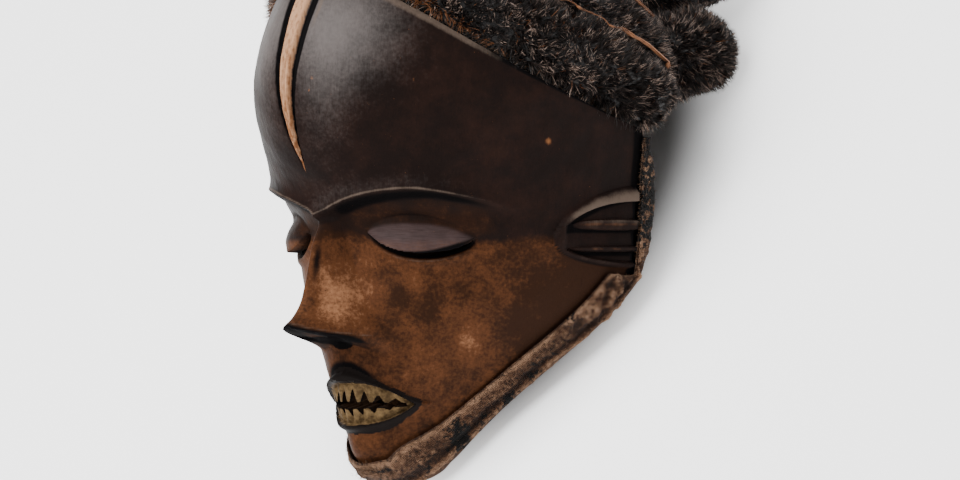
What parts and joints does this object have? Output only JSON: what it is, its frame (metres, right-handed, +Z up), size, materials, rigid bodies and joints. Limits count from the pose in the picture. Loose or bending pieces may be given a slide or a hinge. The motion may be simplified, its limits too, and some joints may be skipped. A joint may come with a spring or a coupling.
{
  "type": "face mask",
  "caption": "Carved hollow wooden face mask with lowered lids, filed teeth, a black pile wig with lobes and a textile rim band, lying on its back rim.",
  "frame": {"origin": "middle of the foot of the bounding box, on the floor that the mask lies on", "axes": "+Z up from the floor; the chin points along -Y and the wig lobes along +Y; +X is the mask's own left; the face looks up and towards -Y"},
  "size_m": [0.2094, 0.345, 0.2125],
  "materials": {
    "dark_wood": "hand-rubbed dark patina",
    "black_pile": "matte dyed fibre",
    "raffia": "dry raffia",
    "rim_textile": "coarse woven"
  },
  "bodies": {
    "root": {"carved_face": "dark_wood", "wig_cap": "black_pile", "wig_roll_1": "black_pile", "wig_roll_2": "black_pile", "wig_roll_3": "black_pile", "wig_crown": "black_pile", "wig_bun_lower_left": "black_pile", "wig_bun_lower_right": "black_pile", "wig_bun_upper_left": "black_pile", "wig_bun_upper_right": "black_pile", "raffia_stitch_front_left": "raffia", "raffia_stitch_front_right": "raffia", "raffia_stitch_back_left": "raffia", "raffia_stitch_back_right": "raffia", "rim_band": "rim_textile"}
  },
  "joints": []
}
